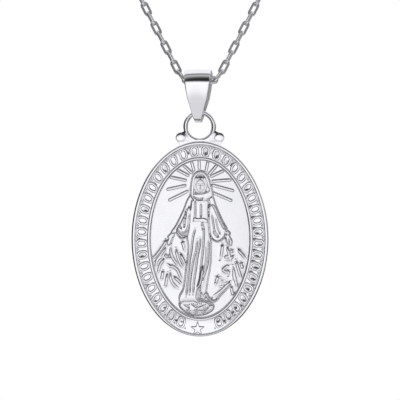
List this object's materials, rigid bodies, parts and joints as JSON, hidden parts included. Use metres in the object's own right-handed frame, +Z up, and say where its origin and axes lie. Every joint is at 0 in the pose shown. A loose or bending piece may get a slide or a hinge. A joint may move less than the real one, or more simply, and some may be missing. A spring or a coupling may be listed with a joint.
{
  "type": "religious medal pendant on chain",
  "caption": "Oval religious medal with a raised standing figure, hanging ring and folded bail, worn on a whole loop of fine cable chain.",
  "frame": {"origin": "top of the chain's loop at the nape, in the middle of the clasp, where the loop hangs on a neck", "axes": "+Z up, the front of the medal faces -Y, +X to the right as seen from the front"},
  "size_m": [0.114, 0.0674, 0.2071],
  "materials": {
    "medal_silver": "cast silver, brightly polished on the high relief, with shadowed recesses",
    "bail_silver": "smooth mirror-polished silver",
    "chain_silver": "polished silver wire",
    "clasp_silver": "plain polished silver"
  },
  "bodies": {
    "chain": {"chain": "chain_silver", "clasp": "clasp_silver"},
    "bail": {"bail": "bail_silver"},
    "medal": {"medal": "medal_silver"}
  },
  "joints": [
    {"name": "bail_swing", "type": "hinge", "parent": "chain", "child": "bail", "pos_m": [0, -0.06282, -0.17259], "axis": [1, 0, 0], "range_deg": [-90, 60]},
    {"name": "medal_swing", "type": "hinge", "parent": "bail", "child": "medal", "pos_m": [0, -0.06282, -0.17681], "axis": [1, 0, 0], "range_deg": [-90, 90]}
  ]
}
